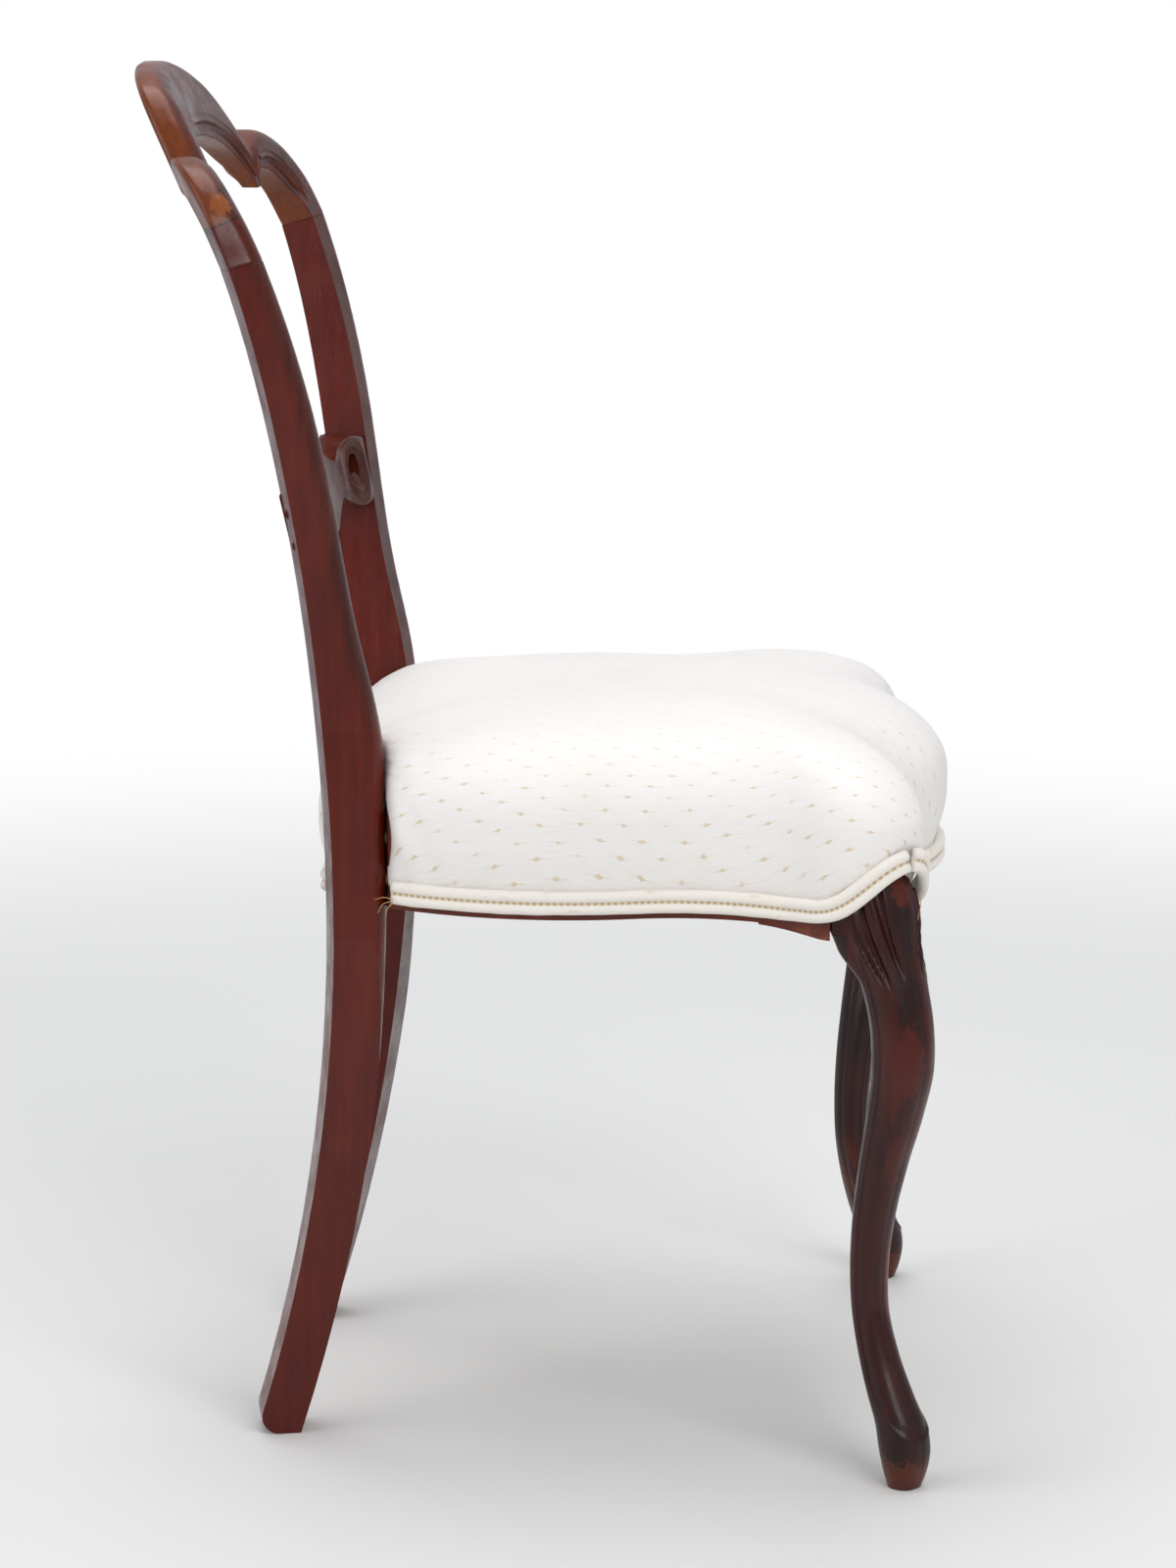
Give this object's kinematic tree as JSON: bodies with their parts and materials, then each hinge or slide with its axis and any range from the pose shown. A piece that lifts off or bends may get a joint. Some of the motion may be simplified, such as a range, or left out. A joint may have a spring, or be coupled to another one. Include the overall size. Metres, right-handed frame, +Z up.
{
  "type": "balloon back chair",
  "caption": "Wooden side chair with a pierced, curved balloon back, cabriole front legs, raked rear legs and a sprung, stuffed-over seat edged with double welt.",
  "frame": {"origin": "on the floor, under the middle of the chair's bounding box", "axes": "+Z up, front of the chair towards -Y, +X towards the sitter's left"},
  "size_m": [0.4608, 0.528, 0.881],
  "materials": {
    "show_wood": "dark polished mahogany, worn to orange brown on edges",
    "frame_wood": "bare beech",
    "dowel_wood": "bare beech",
    "screw_steel": "dull steel",
    "tack_steel": "blued steel",
    "spring_steel": "coppered wire",
    "webbing": "woven jute",
    "canvas": "hessian",
    "stuffing": "curled hair and wadding",
    "cover_fabric": "ivory sateen with small gold dashes woven in",
    "welt_fabric": "double cord in ivory cloth with a tan stitched seam"
  },
  "bodies": {
    "root": {"back_rail": "frame_wood", "corner_block_front_left": "frame_wood", "corner_block_front_right": "frame_wood", "corner_block_rear_left": "frame_wood", "corner_block_rear_right": "frame_wood", "corner_block_screws": "screw_steel", "crest_dowels": "dowel_wood", "crest_rail": "show_wood", "ear_front_left": "show_wood", "ear_front_right": "show_wood", "ear_side_left": "show_wood", "ear_side_right": "show_wood", "front_leg_dowels": "dowel_wood", "front_leg_left": "show_wood", "front_leg_right": "show_wood", "front_rail": "frame_wood", "mid_rail": "show_wood", "mid_rail_dowels": "dowel_wood", "rear_leg_dowels": "dowel_wood", "rear_leg_left": "show_wood", "rear_leg_right": "show_wood", "seat_cover": "cover_fabric", "seat_spring_centre": "spring_steel", "seat_spring_front_left": "spring_steel", "seat_spring_front_right": "spring_steel", "seat_spring_rear_left": "spring_steel", "seat_spring_rear_right": "spring_steel", "seat_stuffing": "stuffing", "side_rail_left": "frame_wood", "side_rail_right": "frame_wood", "spring_canvas": "canvas", "webbing_cross_1": "webbing", "webbing_cross_2": "webbing", "webbing_cross_3": "webbing", "webbing_cross_4": "webbing", "webbing_long_1": "webbing", "webbing_long_2": "webbing", "webbing_long_3": "webbing", "webbing_long_4": "webbing", "webbing_tacks": "tack_steel", "welt_back": "welt_fabric", "welt_front": "welt_fabric", "welt_left": "welt_fabric", "welt_right": "welt_fabric"}
  },
  "joints": []
}
